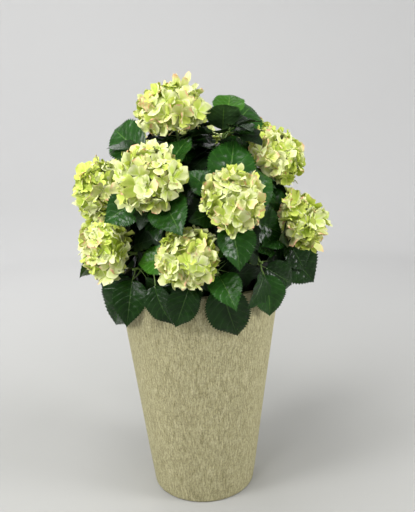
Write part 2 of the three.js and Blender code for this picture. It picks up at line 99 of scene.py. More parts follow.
# name, tier, bearing, reach, height, bloom radius, seeded leaves, and listed leaves:
# clock angle, splay, length, drop and roll
shootRows = [
    ("top", "crown", -37, 87, 1030, 90, 0, [(5, 93, 106, 32, 60), (284, 82, 111, 34, -55)]),
    ("upper_left", "upper", -25, 242, 885, 84, 1,
     [(17, 116, 146, 24, 35), (140, 76, 122, 20, 0), (222, 88, 122, 10, -20), (278, 84, 130, 16, -15)]),
    ("far_left", "upper", -80, 241, 846, 80, 2, []),
    ("low_left", "lower", -54, 264, 708, 70, 0,
     [(228, 80, 112, 34, -30)]),
    ("low_front", "lower", -4.5, 256, 705, 69, 0,
     [(268, 98, 98, 10, 20), (60, 108, 105, 14, -12), (330, 100, 95, 16, 0), (188, 92, 106, 12, 0)]),
    ("upper_right", "upper", 74, 207, 912, 79, 2,
     [(132, 80, 112, 30, 50)]),
    ("mid_right", "upper", 19, 258, 833, 74, 0,
     [(104, 82, 134, 34, 10), (190, 90, 130, 12, 0), (18, 82, 150, 28, -5), (335, 95, 100, 12, 0),
      (66, 86, 112, 6, 10)]),
    ("low_right", "lower", 65, 283, 758, 66, 0,
     [(145, 76, 114, 20, 45), (163, 72, 148, 62, 50), (267, 92, 84, 16, 10), (20, 100, 105, 14, -60)]),
    ("back_right", "upper", 118, 195, 935, 78, 5, []),
    ("back_top", "crown", 178, 165, 930, 80, 5, []),
    ("back_left", "upper", -128, 195, 905, 80, 5, []),
    ("rear_low_right", "lower", 106, 262, 745, 72, 5, []),
    ("rear_right", "lower", 146, 265, 735, 74, 5, []),
    ("rear_left", "lower", -174, 265, 725, 74, 5, []),
    ("rear_low_left", "lower", -132, 262, 735, 74, 5, []),
    ("side_left", "lower", -96, 262, 700, 70, 4, [(120, 58, 135, 26, 0)]),
    ("top_right", "crown", 50, 100, 985, 0, 2,
     [(74, 61, 154, 38, 20), (46, 58, 104, 2, -15), (92, 86, 112, 54, 40)]),
    ("left_shoulder", "upper", -50, 150, 930, 0, 0, [(276, 60, 142, 26, -25)]),
    ("centre", "middle", 5, 45, 925, 0, 3,
     [(14, 88, 128, 26, -20), (19, 80, 118, 0, 30), (60, 84, 110, 50, 50), (300, 80, 110, 14, -55)]),
    ("skirt_left", "skirt", -44, 226, 660, 0, 0, [(206, 67, 144, 34, -8), (150, 60, 104, 10, -60)]),
    ("skirt_front_left", "skirt", -27, 230, 662, 0, 0, [(160, 80, 98, 4, 0)]),
    ("skirt_front", "skirt", -2, 232, 662, 0, 1, [(200, 70, 96, 6, 0)]),
    ("skirt_right", "skirt", 12, 230, 662, 0, 0, [(168, 80, 134, 16, 16), (180, 10, 112, 33, 0)]),
    ("skirt_far_right", "skirt", 44, 226, 668, 0, 0, [(180, 76, 104, 10, 30), (110, 66, 110, 30, 10)]),
    ("skirt_rear_right", "skirt", 134, 226, 652, 0, 4, []),
    ("skirt_rear", "skirt", 168, 226, 650, 0, 4, []),
    ("skirt_rear_left", "skirt", -156, 226, 652, 0, 4, []),
    ("skirt_side_left", "skirt", -104, 226, 655, 0, 4, []),
]

seededLeaf = {"splay": (76, 100), "length": (105, 140), "roll": 15, "jitter": 12, "drop": 8, "dropStep": 12}
seededSkirt = {
    "splay": (40, 62), "length": (115, 150), "roll": 12, "jitter": 10, "drop": 6, "dropStep": 9, "spread": 42,
}
innerLeaf = {
    "splay": (70, 110), "length": (85, 120), "roll": 20, "drop": 44, "dropStep": 5,
    "withBloom": 5, "leafy": 4,
}
tries = {
    "most": 12, "turnByHand": 4, "turnSeeded": 9, "splay": 6, "shorten": 0.015, "lower": 8,
    "sampleStep": 0.09,
}
gaps = {
    "planter": 7, "rim": 6, "soil": 8, "bloom": 4, "ownBloom": -7, "cane": 9, "stalk": 5.5, "sheet": 2.6,
    "stemFoot": 6,
}
caneStretches = 8
bladeSamples = (-1, -0.67, -0.33, 0, 0.33, 0.67, 1)
stalkSamples = (0.25, 0.4, 0.55, 0.7, 0.85, 1)
nearLeaves = 260  # leaves whose middles are further apart can't meet


def outerRadius(height):
    # the planter's outside: straight from base to rim
    return planter["baseRadius"] + (planter["rimRadius"] - planter["baseRadius"]) * height / planter["height"]


def innerRadius(height):
    # its inside: a wall's thickness further in
    return outerRadius(height) - planter["wall"]


def ringHeight(ring):
    # the stem base's dome, a parabola, at one of its rings
    return stemBase["height"] * (1 - (ring / stemBase["rings"]) ** 2)


def domeAt(bearing, reach):
    # the point of the faceted dome at a bearing and reach, and the direction square to its facet
    facet = 360 / stemBase["sides"]
    middle = (math.floor(bearing / facet) + 0.5) * facet
    narrowing = math.cos(math.radians(facet / 2))
    ringWidth = stemBase["radius"] / stemBase["rings"]
    place = reach * math.cos(math.radians(bearing - middle)) / narrowing / ringWidth
    ring = math.floor(place)
    fall = ringHeight(ring) - ringHeight(ring + 1)
    height = soil["level"] + clearance + ringHeight(ring) - fall * (place - ring)
    slope = fall / ringWidth / narrowing
    return placeAt(bearing, reach, height), unit(placeAt(middle, slope, 1))


def bezier(corners, t):
    # the cubic curve of four corners at t, one number or an array
    t = np.asarray(t, float)[..., None]
    a, b, c, d = corners
    return a * (1 - t) ** 3 + b * 3 * t * (1 - t) ** 2 + c * 3 * t * t * (1 - t) + d * t**3


def shootOf(row):
    # a mass's tip, its own three directions and the foot of its stem, and the curve of its cane,
    # which leaves the stem base square to it and arrives along the mass's axis
    name, tier, bearing, reach, height, bloomRadius, seeded, leaves = row
    footRadius, heart = tiers[tier]
    tip = placeAt(bearing, reach, height)
    axis = unit(tip - np.array([0, 0, heart]))
    up = unit(np.array([0, 0, 1]) - axis * axis[2])
    right = np.cross(up, axis)
    underside = bloomRadius * bloomShape["underside"]
    stemLength = underside + bloomStem if bloomRadius else leafyStem
    foot = tip - axis * stemLength
    point, square = domeAt(bearing, footRadius)
    root = point + square * 1.2 * clearance
    span = np.linalg.norm(foot - root)
    path = (root, root + square * span * cane["rise"], foot - axis * span * cane["arrive"], foot)
    return SimpleNamespace(
        name=name, tip=tip, axis=axis, up=up, right=right, foot=foot, path=path, bloomRadius=bloomRadius,
        underside=underside, stemLength=stemLength, seeded=seeded, leaves=leaves, skirt=tier == "skirt",
        tier=tier,
    )


def outline(t):
    # half the blade's width as a share of its widest: a round body that runs into a drip tip
    body = np.maximum(0, 1 - ((t - 0.43) / 0.455) ** 2) ** 0.55
    drip = np.where(t > 0.6, 0.34 * (1 - t) / 0.3, 0)
    return np.maximum(body, np.minimum(drip, 0.34))


def leafOf(shoot, clock, splay, length, drop, roll):
    # a leaf points out of the stem by its clock angle, leans from the stem by its splay, and rolls
    c, s, r = math.radians(clock), math.radians(splay), math.radians(roll)
    out = shoot.up * math.cos(c) + shoot.right * math.sin(c)
    heading = shoot.axis * math.cos(s) + out * math.sin(s)
    level = shoot.axis * math.sin(s) - out * math.cos(s)
    across = np.cross(heading, level)
    depth = min(shoot.underside + drop, shoot.stemLength - gaps["stemFoot"])
    node = shoot.tip - shoot.axis * depth
    lean = unit(heading + shoot.axis * stalk["lean"])
    return SimpleNamespace(
        node=node, base=node + lean * (stalk["length"] + stalk["perLength"] * length), heading=heading,
        face=level * math.cos(r) + across * math.sin(r), side=across * math.cos(r) - level * math.sin(r),
        length=length, arch=blade["skirtArch"] if shoot.skirt else blade["arch"],
        half=length * blade["ratio"] / 2, shoot=shoot,
    )


def bladePoints(leaf, t, s):
    # the blade's middle surface: along the heading, bent down by the arch, folded up along the midrib
    t = np.asarray(t, float)[..., None]
    s = np.asarray(s, float)[..., None]
    middle = leaf.base + leaf.heading * leaf.length * t
    middle = middle - leaf.face * leaf.length * leaf.arch * t * t
    normal = unit(leaf.face + leaf.heading * 2 * leaf.arch * t)
    reach = leaf.half * outline(t) * np.abs(s)
    fold = math.radians(blade["fold"])
    return middle + leaf.side * np.sign(s) * reach * math.cos(fold) + normal * reach * math.sin(fold)


sheetCorners = np.array([
    (0, 1, 2), (0, 2, 3), (1, 4, 5), (1, 5, 2), (2, 5, 6), (2, 6, 3),
    (4, 7, 8), (4, 8, 5), (5, 8, 9), (5, 9, 6), (7, 10, 8), (8, 10, 9),
])
sheetEdges = np.array([
    (0, 1), (0, 3), (0, 2), (1, 4), (4, 7), (7, 10), (3, 6), (6, 9), (9, 10),
    (2, 5), (5, 8), (8, 10), (1, 2), (2, 3), (4, 5), (5, 6), (7, 8), (8, 9),
])
sheetT = np.array([0] + [t for t in bladeStations for _ in range(3)] + [1])
sheetS = np.array([0] + [-1, 0, 1] * len(bladeStations) + [0])
sampleRows = []
sampleT = tries["sampleStep"]
while sampleT < 1:
    sampleRows.append(sampleT)
    sampleT += tries["sampleStep"]
sampleT, sampleS = [grid.ravel() for grid in np.meshgrid(sampleRows, bladeSamples, indexing="ij")]


def pierces(starts, ends, faces):
    # true where any of the segments passes through any of the triangles
    if not len(starts) or not len(faces):
        return False
    d = (ends - starts)[:, None]
    e1 = (faces[:, 1] - faces[:, 0])[None]
    e2 = (faces[:, 2] - faces[:, 0])[None]
    h = np.cross(d, e2)
    det = (e1 * h).sum(-1)
    sound = np.abs(det) >= 1e-9
    det = np.where(sound, det, 1)
    s = starts[:, None] - faces[None, :, 0]
    u = (s * h).sum(-1) / det
    q = np.cross(s, e1)
    v = (d * q).sum(-1) / det
    t = (e2 * q).sum(-1) / det
    return bool((sound & (u >= 0) & (u <= 1) & (v >= 0) & (u + v <= 1) & (t >= 0) & (t <= 1)).any())


def insideBloom(points, shoot, margin):
    # true where any of the points lies in the bloom's flattened ball, grown by a margin
    v = points - shoot.tip
    z = v @ shoot.axis
    aside = (v * v).sum(-1) - z * z
    radius = shoot.bloomRadius + margin
    depth = np.where(z > 0, shoot.bloomRadius * bloomShape["crown"], shoot.underside) + margin
    return bool((aside / radius**2 + z * z / depth**2 < 1).any())


def hitsPlanter(points):
    # true where any of the points lies in the wall or the soil, or too near them
    radius = np.hypot(points[:, 0], points[:, 1])
    height = points[:, 2]
    outside = outerRadius(height)
    inWall = (radius > outside - planter["wall"] - gaps["planter"]) & (radius < outside + gaps["planter"])
    inSoil = (radius <= outside) & (height < soil["level"] + gaps["soil"])
    return bool((inSoil | (inWall & (height < planter["height"] + gaps["rim"]))).any())


def nearLimb(points, starts, ends, reach):
    # true where any of the points lies within its reach of any of the straight stretches
    span = ends - starts
    share = ((points[:, None] - starts[None]) * span[None]).sum(-1) / (span * span).sum(-1)[None]
    nearest = starts[None] + span[None] * np.clip(share, 0, 1)[..., None]
    return bool((np.linalg.norm(points[:, None] - nearest, axis=-1) < reach[None]).any())


class Growth:
    # the shoots' limbs and the leaves that have found their place among them
    def __init__(self, shoots):
        self.bloomed = [shoot for shoot in shoots if shoot.bloomRadius]
        self.leaves, self.limbs, self.sheets = [], [], []
        for shoot in shoots:
            points = bezier(shoot.path, np.arange(caneStretches + 1) / caneStretches)
            self.limbs += [("", *ends, gaps["cane"]) for ends in zip(points[:-1], points[1:])]
            top = -shoot.underside if shoot.bloomRadius else gaps["stemFoot"]
            self.limbs.append((shoot.name, shoot.foot, shoot.tip + shoot.axis * top, gaps["cane"]))

    def fits(self, shoot, leaf, ease):
        # ease is 1 for the source's leaves; finer leaves keep less clear of what is near
        points = bladePoints(leaf, sheetT, sheetS)
        if hitsPlanter(points):
            return None
        samples = np.vstack([points, bladePoints(leaf, sampleT, sampleS)])
        share = np.array(stalkSamples)[:, None]
        stalkPoints = leaf.node * (1 - share) + leaf.base * share
        for other in self.bloomed:
            own = other is shoot
            margin = gaps["ownBloom"] if own else gaps["bloom"]
            if insideBloom(samples if own else np.vstack([samples, stalkPoints]), other, margin):
                return None
        limbs = [limb[1:] for limb in self.limbs if limb[0] != shoot.name]
        starts, ends, reach = [np.array(values) for values in zip(*limbs)]
        if pierces(starts, ends, points[sheetCorners]):
            return None
        if nearLimb(np.vstack([samples, stalkPoints]), starts, ends, reach * ease):
            return None
        return points if self.clearOfSheets(leaf, points, ease) else None

    def clearOfSheets(self, leaf, points, ease):
        # true where the blade, also moved a little to either side, and its stalk meet no other leaf
        if not self.sheets:
            return True
        middles, *parts = zip(*self.sheets)
        near = np.linalg.norm(np.array(middles) - points.mean(0), axis=1) < nearLeaves
        if not near.any():
            return True
        sheets, wireStart, wireEnd = [np.concatenate(np.array(part)[near]) for part in parts]
        for offset in (-gaps["sheet"] * ease, 0, gaps["sheet"] * ease):
            shift = leaf.face * offset
            moved = points + shift
            if pierces(wireStart, wireEnd, moved[sheetCorners]):
                return False
            if pierces(moved[sheetEdges[:, 0]], moved[sheetEdges[:, 1]], sheets):
                return False
            start = (leaf.node * 0.7 + leaf.base * 0.3 + shift)[None]
            if pierces(start, (leaf.base + shift)[None], sheets):
                return False
        return True

    def grow(self, shoot, row, turn, kind, ease=1):
        # the leaf in the first place that fits, turned further from its wish at each try
        clock, splay, length, drop, roll = row
        for attempt in range(tries["most"]):
            swing = math.ceil(attempt / 2) * (1 if attempt % 2 else -1)
            leaf = leafOf(
                shoot,
                clock + turn * swing,
                splay + (attempt % 3 - 1 if attempt else 0) * tries["splay"],
                length * (1 - tries["shorten"] * attempt),
                drop + (tries["lower"] if attempt % 4 == 3 else 0),
                roll,
            )
            points = self.fits(shoot, leaf, ease)
            if points is None:
                continue
            leaf.kind = kind
            self.leaves.append(leaf)
            self.limbs.append((shoot.name, leaf.node, leaf.base, gaps["stalk"]))
            starts = np.vstack([points[sheetEdges[:, 0]], leaf.node])
            ends = np.vstack([points[sheetEdges[:, 1]], leaf.base])
            self.sheets.append((points.mean(0), points[sheetCorners], starts, ends))
            return


def leafWishes(shoots, draw):
    # the listed leaves, then the seeded leaves of each shoot, then its inner leaves
    wishes = [(shoot, row, tries["turnByHand"], "hand") for shoot in shoots for row in shoot.leaves]

    def wish(shoot, rule, clock, step, kind):
        splay, length = draw(*rule["splay"]), draw(*rule["length"])
        roll = draw(-rule["roll"], rule["roll"])
        row = clock, splay, length, rule["drop"] + rule["dropStep"] * step, roll
        wishes.append((shoot, row, tries["turnSeeded"], kind))

    for shoot in shoots:
        twist = draw(0, 360)
        rule = seededSkirt if shoot.skirt else seededLeaf
        for k in range(shoot.seeded):
            centre = 180 + (k - 1.5) * rule["spread"] if shoot.skirt else twist + 360 / shoot.seeded * k
            wish(shoot, rule, centre + draw(-rule["jitter"], rule["jitter"]), k % 3, "seeded")
    for shoot in shoots:
        for k in range(innerLeaf["withBloom"] if shoot.bloomRadius else innerLeaf["leafy"]):
            wish(shoot, innerLeaf, draw(0, 360), k, "inner")
    return wishes


shoots = [shootOf(row) for row in shootRows]
growth = Growth(shoots)
for shoot, row, turn, kind in leafWishes(shoots, dealer(growthSeed)):
    growth.grow(shoot, row, turn, kind)
print("leaves grown by the rule:", len(growth.leaves))

# finer leaves that fill the inside of the crown, by the same rule with less room to spare
finerLeaf = {
    "perShoot": 9, "moreInCrown": 17, "clock": 14, "ease": 0.45, "around": (0, 360), "splay": (62, 118),
    "length": (62, 98), "drop": (4, 60), "roll": (-28, 28), "filling": "top_right",
    "fillingRow": (252, 35, 105, 30, 30),
}
finerDraw = dealer(growthSeed + 7)
for shoot in shoots:
    if shoot.name == finerLeaf["filling"]:  # one leaf closes the opening under the highest flower head
        growth.grow(shoot, finerLeaf["fillingRow"], finerLeaf["clock"], "seeded", finerLeaf["ease"])
for k in range(finerLeaf["perShoot"] + finerLeaf["moreInCrown"]):
    for shoot in shoots:
        if k < finerLeaf["perShoot"] or shoot.tier == "crown":
            row = [finerDraw(*finerLeaf[key]) for key in ("around", "splay", "length", "drop", "roll")]
            growth.grow(shoot, row, finerLeaf["clock"], "finer", finerLeaf["ease"])
print("with finer leaves:", len(growth.leaves))


def column(items, key):
    # one value of many shoots or leaves, as an array
    return np.array([getattr(item, key) for item in items])


def newObject(name, shape, material):
    # a smooth mesh at the origin from points in millimetres and triangles
    points, triangles = shape[0], np.asarray(shape[1], np.int32)
    mesh = bpy.data.meshes.new(name)
    mesh.vertices.add(len(points))
    mesh.vertices.foreach_set("co", (np.asarray(points) * metre).astype(np.float32).ravel())
    mesh.loops.add(triangles.size)
    mesh.loops.foreach_set("vertex_index", triangles.ravel())
    mesh.polygons.add(len(triangles))
    mesh.polygons.foreach_set("loop_start", np.arange(0, triangles.size, 3, dtype=np.int32))
    mesh.polygons.foreach_set("use_smooth", np.ones(len(triangles), bool))
    mesh.update(calc_edges=True)
    mesh.materials.append(material)
    piece = bpy.data.objects.new(name, mesh)
    bpy.context.scene.collection.objects.link(piece)
    return piece


def newPiece(name, shape, material, replaced=(), cornerUv=None, onRim=None):
    # a piece of the visual model, with a uv pair for each corner where it is a thin sheet.
    # Edges between two points of a sheet's rim are sharp, so each face keeps its own shading.
    piece = newObject(name, shape, material)
    mesh = piece.data
    if cornerUv is not None:
        layer = mesh.uv_layers.new(name="OFBake")
        layer.data.foreach_set("uv", np.asarray(cornerUv, np.float32).ravel())
        ends = np.zeros(len(mesh.edges) * 2, np.int32)
        mesh.edges.foreach_get("vertices", ends)
        sharp = onRim[ends.reshape(-1, 2)].all(axis=1)
        mesh.attributes.new("sharp_edge", "BOOLEAN", "EDGE").data.foreach_set("value", sharp)
    mesh.validate()
    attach(piece, "root")
    if replaced:
        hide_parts(*replaced)
    print("piece", name, len(shape[1]), "triangles")


def copies(points, triangles):
    # many copies of a shape as one, from a row of points for each copy and the triangles of one
    count, each = points.shape[:2]
    return points.reshape(-1, 3), (triangles[None] + np.arange(count)[:, None, None] * each).reshape(-1, 3)


def ringWalls(rings, sides):
    # two triangles for each place between one ring of points and the next
    a = np.arange(rings - 1)[:, None] * sides + np.arange(sides)
    b = np.arange(rings - 1)[:, None] * sides + (np.arange(sides) + 1) % sides
    walls = np.stack([a, b, b + sides], -1), np.stack([a, b + sides, a + sides], -1)
    return np.concatenate(walls).reshape(-1, 3)


def lensTopology(rows, columns):
    # a thin closed sheet: an upper and a lower grid that share their rim, with one point at each end.
    # Gives each vertex's t, s and side (1 above, -1 below, 0 on the rim), the triangles, and
    # each corner's uv, the upper face in the left half of the square and the lower in the right.
    across = np.linspace(-1, 1, columns + 1)
    along = np.arange(1, rows) / rows
    upperInner = 1 + np.arange((rows - 1) * (columns + 1)).reshape(rows - 1, columns + 1)
    lowerInner = upperInner.size + 1 + np.arange((rows - 1) * (columns - 1)).reshape(rows - 1, columns - 1)
    last = upperInner.size + lowerInner.size + 1
    t = np.concatenate([[0], np.repeat(along, columns + 1), np.repeat(along, columns - 1), [1]])
    s = np.concatenate([[0], np.tile(across, rows - 1), np.tile(across[1:-1], rows - 1), [0]])
    onTop = np.tile(np.abs(across) < 1, rows - 1).astype(int)
    side = np.concatenate([[0], onTop, np.full(lowerInner.size, -1), [0]])
    u, v = np.meshgrid(np.arange(columns + 1) / columns, np.arange(rows + 1) / rows)
    triangles, uvs = [], []
    lowerRows = np.hstack([upperInner[:, :1], lowerInner, upperInner[:, -1:]])
    for inner, offset in ((upperInner, 0.0), (lowerRows, 0.5)):
        grid = np.vstack([np.zeros((1, columns + 1), int), inner, np.full((1, columns + 1), last)])
        place = np.stack([offset + 0.01 + 0.48 * u, 0.01 + 0.98 * v], -1)
        for values, kept in ((grid, triangles), (place, uvs)):
            a, b, c, d = values[:-1, :-1], values[:-1, 1:], values[1:, 1:], values[1:, :-1]
            first = np.stack([a, b, c], 2)[1:]  # no triangle where the first row is one point
            second = np.stack([a, c, d], 2)[:-1]  # nor where the last row is
            both = np.concatenate([half.reshape(-1, *half.shape[2:]) for half in (first, second)])
            kept.append(both if offset == 0 else both[:, ::-1])
    return t, s, side, np.concatenate(triangles), np.concatenate(uvs)


def tubes(paths, radii, references, sides):
    # round tubes along paths, n paths of m points each, closed by a point at both ends.
    # Each ring is square to its path and turned by a reference direction across it.
    paths = np.asarray(paths, float)
    count, steps = paths.shape[:2]
    tangents = unit(np.gradient(paths, axis=1))
    across = np.broadcast_to(np.asarray(references, float)[:, None], paths.shape)
    across = unit(across - tangents * (across * tangents).sum(-1, keepdims=True))
    beside = np.cross(tangents, across)
    turn = 2 * np.pi * np.arange(sides) / sides
    radii = np.broadcast_to(np.asarray(radii, float), (count, steps))[..., None, None]
    rings = paths[:, :, None] + radii * (
        across[:, :, None] * np.cos(turn)[:, None] + beside[:, :, None] * np.sin(turn)[:, None]
    )
    points = np.concatenate([rings.reshape(count, -1, 3), paths[:, :1], paths[:, -1:]], axis=1)
    k, n, first = np.arange(sides), (np.arange(sides) + 1) % sides, steps * sides
    start = np.stack([n, k, np.full(sides, first)], -1)
    end = np.stack([k, n, np.full(sides, first + 1)], -1)
    end[:, :2] += (steps - 1) * sides
    triangles = np.concatenate([ringWalls(steps, sides), start, end])
    return copies(points, triangles)


def joined(parts):
    # several (points, triangles) pairs as one
    points = np.concatenate([part[0] for part in parts])
    starts = np.cumsum([0] + [len(part[0]) for part in parts[:-1]])
    triangles = np.concatenate([part[1] + start for part, start in zip(parts, starts)])
    return points, triangles


def latheSurface(profile, sides, relief=None):
    # a profile of (radius, height) carried round the axis, with one point where the radius is 0
    profile = np.asarray(profile, float)
    turn = 2 * np.pi * np.arange(sides) / sides
    radius, height = profile[:, :1], profile[:, 1:]
    if relief is not None:
        radius = radius + relief(turn[None], height)
    level = np.broadcast_to(height, (len(profile), sides))
    points = np.stack([radius * np.sin(turn), -radius * np.cos(turn), level], -1).reshape(-1, 3)
    triangles = ringWalls(len(profile), sides)
    for pole in np.where(profile[:, 0] < 1e-6)[0]:
        members = pole * sides + np.arange(sides)
        triangles[np.isin(triangles, members)] = members[0]
    a, b, c = triangles.T
    used, triangles = np.unique(triangles[(a != b) & (b != c) & (a != c)], return_inverse=True)
    return points[used], triangles.reshape(-1, 3)


def arcPoints(centre, radius, start, end, count):
    # points of an arc in the profile plane, angles in degrees from the outward direction
    angle = np.radians(np.linspace(start, end, count))
    return np.stack([centre[0] + radius * np.cos(angle), centre[1] + radius * np.sin(angle)], -1)


def nodeMaker(name):
    # an empty node tree and a short way of adding nodes to it
    material = bpy.data.materials.new(name)
    material.use_nodes = True
    tree = material.node_tree
    tree.nodes.clear()

    def add(kind, inputs=None, **settings):
        node = tree.nodes.new("ShaderNode" + kind)
        for key, value in settings.items():
            setattr(node, key, value)
        for key, value in (inputs or {}).items():
            socket = node.inputs[key]
            if isinstance(value, bpy.types.NodeSocket):
                tree.links.new(value, socket)
            else:
                socket.default_value = (*value, 1) if socket.type == "RGBA" else value
        return node

    return material, add


def ramp(add, value, stops):
    # a colour ramp from (position, colour) stops
    node = add("ValToRGB", {"Fac": value})
    elements = node.color_ramp.elements
    while len(elements) < len(stops):
        elements.new(0.5)
    for element, (position, colour) in zip(elements, stops):
        element.position = position
        element.color = (*colour, 1)
    return node.outputs["Color"]


def mixColours(add, share, first, second, blend="MIX"):
    # the first colour with a share of the second mixed or multiplied in
    inputs = {0: share, 6: first, 7: second}
    return add("Mix", inputs, data_type="RGBA", blend_type=blend).outputs[2]


def maths(add, operation, first, second=0.0, third=0.0):
    # one sum, product or other operation on values
    return add("Math", {0: first, 1: second, 2: third}, operation=operation).outputs[0]


def finishWith(add, colour, roughness, gleam, height=None, distance=0.001, strength=1.0):
    # the surface shader, with a bump from a height where there is one
    inputs = {"Base Color": colour, "Roughness": roughness, "Specular IOR Level": gleam}
    if height is not None:
        bump = add("Bump", {"Height": height, "Distance": distance, "Strength": strength})
        inputs["Normal"] = bump.outputs["Normal"]
    shader = add("BsdfPrincipled", inputs)
    add("OutputMaterial", {"Surface": shader.outputs["BSDF"]})


def noise(add, scale, detail, roughness, stretch=None):
    # noise in the object's own coordinates, drawn out along an axis where its stretch is small
    place = add("TexCoord").outputs["Object"]
    if stretch:
        place = add("Mapping", {"Vector": place, "Scale": stretch}).outputs["Vector"]
    inputs = {"Vector": place, "Scale": scale, "Detail": detail, "Roughness": roughness}
    return add("TexNoise", inputs).outputs["Fac"]


# noises by their scale, detail, roughness and stretch, and the colours between their levels
stoneLook = {
    "streaks": (340, 3, 0.6, (1, 1, 0.02)), "broad": (14, 3, 0.55, (1, 1, 0.1)),
    "speckle": (360, 3, 0.7, (1, 1, 0.5)), "spotted": 0.85,
    "body": [(0.32, (0.285, 0.265, 0.14)), (0.5, (0.415, 0.39, 0.235)), (0.68, (0.545, 0.52, 0.335))],
    "warm": [(0.35, (0.93, 0.91, 0.86)), (0.65, (1.0, 0.985, 0.94))],
    "spots": [(0.34, (0.5, 0.48, 0.42)), (0.5, (1, 1, 1)), (0.66, (1.25, 1.23, 1.16))],
}


def stoneMaterial():
    # pale olive fibre clay, combed with long fine upright streaks and finely speckled
    material, add = nodeMaker("plantPotStone")
    streaks, broad, speckle = [noise(add, *stoneLook[key]) for key in ("streaks", "broad", "speckle")]
    body, warm = ramp(add, streaks, stoneLook["body"]), ramp(add, broad, stoneLook["warm"])
    colour = mixColours(add, 1.0, body, warm, "MULTIPLY")
    spots = ramp(add, speckle, stoneLook["spots"])
    colour = mixColours(add, stoneLook["spotted"], colour, spots, "MULTIPLY")
    height = maths(add, "ADD", maths(add, "MULTIPLY", streaks, 0.6), maths(add, "MULTIPLY", speckle, 0.5))
    finishWith(add, colour, 0.72, 0.3, height, 0.0018, 0.7)
    return material


def grainMaterial(name, look):
    # one noise that gives both the colour, between its stops, and the height
    material, add = nodeMaker(name)
    tone = noise(add, *look["grain"])
    roughness, gleam, distance, strength = look["finish"]
    finishWith(add, ramp(add, tone, look["tones"]), roughness, gleam, tone, distance, strength)
    return material


def barkMaterial(name, dark, light, streakScale):
    # bark with streaks along the height and small pale pores
    material, add = nodeMaker(name)
    streaks = noise(add, streakScale, 4, 0.6, (1, 1, 0.15))
    pores = noise(add, streakScale * 2.2, 2, 0.5)
    colour = ramp(add, streaks, [(0.3, dark), (0.7, light)])
    spots = ramp(add, pores, [(0.62, (1, 1, 1)), (0.72, (1.5, 1.4, 1.2))])
    colour = mixColours(add, 0.7, colour, spots, "MULTIPLY")
    finishWith(add, colour, 0.7, 0.3, maths(add, "ADD", streaks, pores), 0.0015, 0.7)
    return material


def sheetPlace(add):
    # where a point lies on a thin sheet: whether it is below, its place across from -1 to 1, its
    # distance from the middle line, and its place along, all from the sheet's own uv
    uv = add("SeparateXYZ", {"Vector": add("UVMap", uv_map="OFBake").outputs["UV"]})
    u, v = uv.outputs["X"], uv.outputs["Y"]
    isUnder = maths(add, "GREATER_THAN", u, 0.5)
    middle = maths(add, "MULTIPLY_ADD", isUnder, 2.0, 1.0)
    across = maths(add, "SUBTRACT", maths(add, "MULTIPLY", u, 4.0), middle)
    return isUnder, across, maths(add, "ABSOLUTE", across), v


def fade(add, value, low, high, first=0.0, last=1.0):
    # a value that runs softly from one level to another
    inputs = {"Value": value, 1: low, 2: high, 3: first, 4: last}
    return add("MapRange", inputs, interpolation_type="SMOOTHSTEP").outputs[0]


def leafMaterial(name, lamina, rib, vein, under, gloss):
    # a leaf on its own uv: the upper face in the left half, the paler underside in the right.
    # Pale midrib along the middle, side veins that sweep towards the tip, darker between them.
    material, add = nodeMaker(name)
    isUnder, _, aside, v = sheetPlace(add)
    swept = maths(add, "MULTIPLY", maths(add, "POWER", aside, leafLook["sweepPower"]), leafLook["sweep"])
    place = maths(add, "MULTIPLY", maths(add, "SUBTRACT", v, swept), leafLook["veins"])
    fromVein = maths(add, "ABSOLUTE", maths(add, "SUBTRACT", maths(add, "FRACT", place), 0.5))
    sideVein = fade(add, fromVein, 0.02, 0.12, 1.0, 0.0)
    midrib = fade(add, aside, 0.01, 0.045, 1.0, 0.0)
    tone = noise(add, 26, 3, 0.5)
    cells = noise(add, 320, 2, 0.6)
    darker = tuple(c * 0.62 for c in lamina)
    upper = mixColours(add, add("MapRange", {"Value": tone, 1: 0.38, 2: 0.64}).outputs[0], darker, lamina)
    between = add("MapRange", {"Value": fromVein, 1: 0.1, 2: 0.5, 3: 0.0, 4: 0.45}).outputs[0]
    upper = mixColours(add, between, upper, darker)
    upper = mixColours(add, maths(add, "MULTIPLY", sideVein, 0.3), upper, vein)
    upper = mixColours(add, maths(add, "MULTIPLY", midrib, 0.5), upper, rib)
    lower = mixColours(add, sideVein, under, tuple(c * 1.5 for c in under))
    lower = mixColours(add, midrib, lower, rib)
    colour = mixColours(add, isUnder, upper, lower)
    groove = maths(add, "MAXIMUM", sideVein, midrib)
    height = maths(add, "SUBTRACT", maths(add, "MULTIPLY", cells, 0.25), groove)
    finishWith(add, colour, gloss, 0.18, height, 0.0009, 0.6)
    return material


def sepalMaterial(name, heart, rim, flush):
    # a sepal on its own uv: green at the heart, paler to the rim, with fine lines fanned along it,
    # and a warm flush at its tip where there is one
    material, add = nodeMaker(name)
    _, across, aside, v = sheetPlace(add)
    outward = maths(add, "MAXIMUM", v, maths(add, "MULTIPLY", aside, 0.85))
    tone = noise(add, 45, 3, 0.55)
    share = maths(add, "ADD", outward, maths(add, "MULTIPLY_ADD", tone, 0.9, -0.45))
    colour = mixColours(add, fade(add, share, 0.05, 0.8), heart, rim)
    fan = maths(add, "SINE", maths(add, "MULTIPLY", across, 26.0))
    fan = add("MapRange", {"Value": fan, 1: 0.2, 2: 1.0, 3: 0.0, 4: 0.22}).outputs[0]
    colour = mixColours(add, fan, colour, heart)
    if flush is not None:
        warm = fade(add, maths(add, "ADD", v, maths(add, "MULTIPLY_ADD", tone, 1.1, -0.55)), 0.6, 0.95)
        colour = mixColours(add, maths(add, "MULTIPLY", warm, 0.8), colour, flush)
    height = maths(add, "ADD", fan, maths(add, "MULTIPLY", tone, 0.3))
    finishWith(add, colour, 0.62, 0.3, height, 0.0006, 0.5)
    return material


# the planter: a fine lathe with soft edges and a wall that is a little uneven
potLook = {"sides": 288, "rows": 90, "rimEdge": 2.2, "footEdge": 6, "uneven": 0.35}


